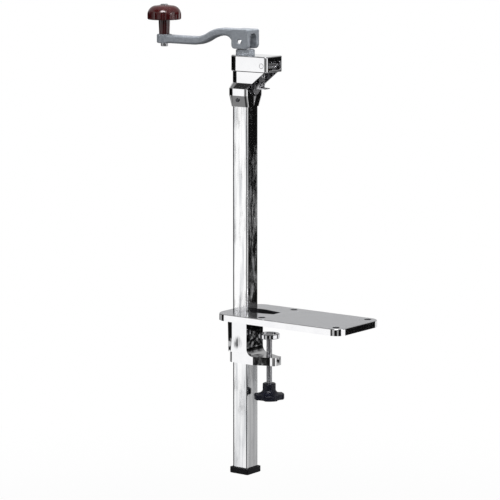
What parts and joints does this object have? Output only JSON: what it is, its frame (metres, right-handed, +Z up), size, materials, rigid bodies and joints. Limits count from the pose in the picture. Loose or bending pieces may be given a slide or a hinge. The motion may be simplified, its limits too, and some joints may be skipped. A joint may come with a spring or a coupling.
{
  "type": "commercial can opener",
  "caption": "Table-clamped kitchen can opener with a sliding square column, geared head, swinging blade, folding crank handle with mushroom grip and a screw clamp.",
  "frame": {"origin": "on the column's axis, in the plane of the base plate's underside, which rests on the table top", "axes": "+Z up along the column, +X along the base plate towards the can's side, +Y to the left seen from the can's side"},
  "size_m": [0.3546, 0.098, 0.6403],
  "materials": {
    "plated_casting": "polished plate over a casting",
    "column_chrome": "polished plate with fine marks along its length",
    "plated_steel": "polished plate",
    "steel": "turned steel",
    "hard_steel": "ground hardened steel",
    "spring_steel": "spring steel",
    "bronze": "sintered bronze",
    "cast_aluminium": "fine sand-cast grey",
    "burgundy_plastic": "glossy moulded burgundy",
    "black_plastic": "matt black moulding",
    "knob_plastic": "satin blue-black moulding"
  },
  "bodies": {
    "base": {"base_casting": "plated_casting", "friction_spring": "spring_steel"},
    "column": {"column_bar": "column_chrome", "foot_cap": "black_plastic", "head_casting": "plated_casting", "column_pin": "steel", "spindle_bush": "bronze", "lever_pin": "steel", "lever_spring": "spring_steel"},
    "spindle": {"spindle": "steel", "drive_wheel": "hard_steel", "wheel_nut": "steel", "wheel_washer": "steel"},
    "sleeve": {"collar_sleeve": "cast_aluminium"},
    "blade_lever": {"blade_lever": "steel", "cutting_blade": "hard_steel", "blade_screws": "steel"},
    "crank": {"crank_arm": "cast_aluminium", "crank_pin": "steel", "knob_stud": "steel"},
    "grip": {"grip_knob": "burgundy_plastic"},
    "pad": {"clamp_pad": "plated_steel"},
    "clamp_screw": {"clamp_screw": "steel", "clamp_knob": "knob_plastic"}
  },
  "joints": [
    {"name": "column_slide", "type": "slide", "parent": "base", "child": "column", "axis": [0, 0, 1], "range_m": [-0.279, 0.148]},
    {"name": "crank_spin", "type": "hinge", "parent": "column", "child": "spindle", "pos_m": [0, 0, 0.35], "axis": [0, 0, 1], "continuous": true},
    {"name": "sleeve_slide", "type": "slide", "parent": "spindle", "child": "sleeve", "axis": [0, 0, 1], "range_m": [-0.0064, 0]},
    {"name": "crank_tilt", "type": "hinge", "parent": "spindle", "child": "crank", "pos_m": [0, 0, 0.3763], "axis": [0, 1, 0], "range_deg": [0, 90]},
    {"name": "grip_spin", "type": "hinge", "parent": "crank", "child": "grip", "pos_m": [-0.1398, 0, 0.39], "axis": [0, 0, 1], "continuous": true},
    {"name": "blade_swing", "type": "hinge", "parent": "column", "child": "blade_lever", "pos_m": [0.0408, 0, 0.3461], "axis": [0, 1, 0], "range_deg": [-13, 0], "deforming": ["lever_spring"]},
    {"name": "pad_slide", "type": "slide", "parent": "base", "child": "pad", "axis": [0, 0, 1], "range_m": [-0.025, 0.019]},
    {"name": "screw_turn", "type": "hinge", "parent": "pad", "child": "clamp_screw", "pos_m": [0.0408, 0, -0.06], "axis": [0, 0, 1], "range_deg": [-7210, 5480]}
  ],
  "couplings": [
    {"joint": "sleeve_slide", "follows": "crank_tilt", "m_per_rad": -0.004},
    {"joint": "blade_swing", "follows": "crank_tilt", "ratio": -0.14},
    {"joint": "screw_turn", "follows": "pad_slide", "rad_per_m": 5026.5}
  ]
}
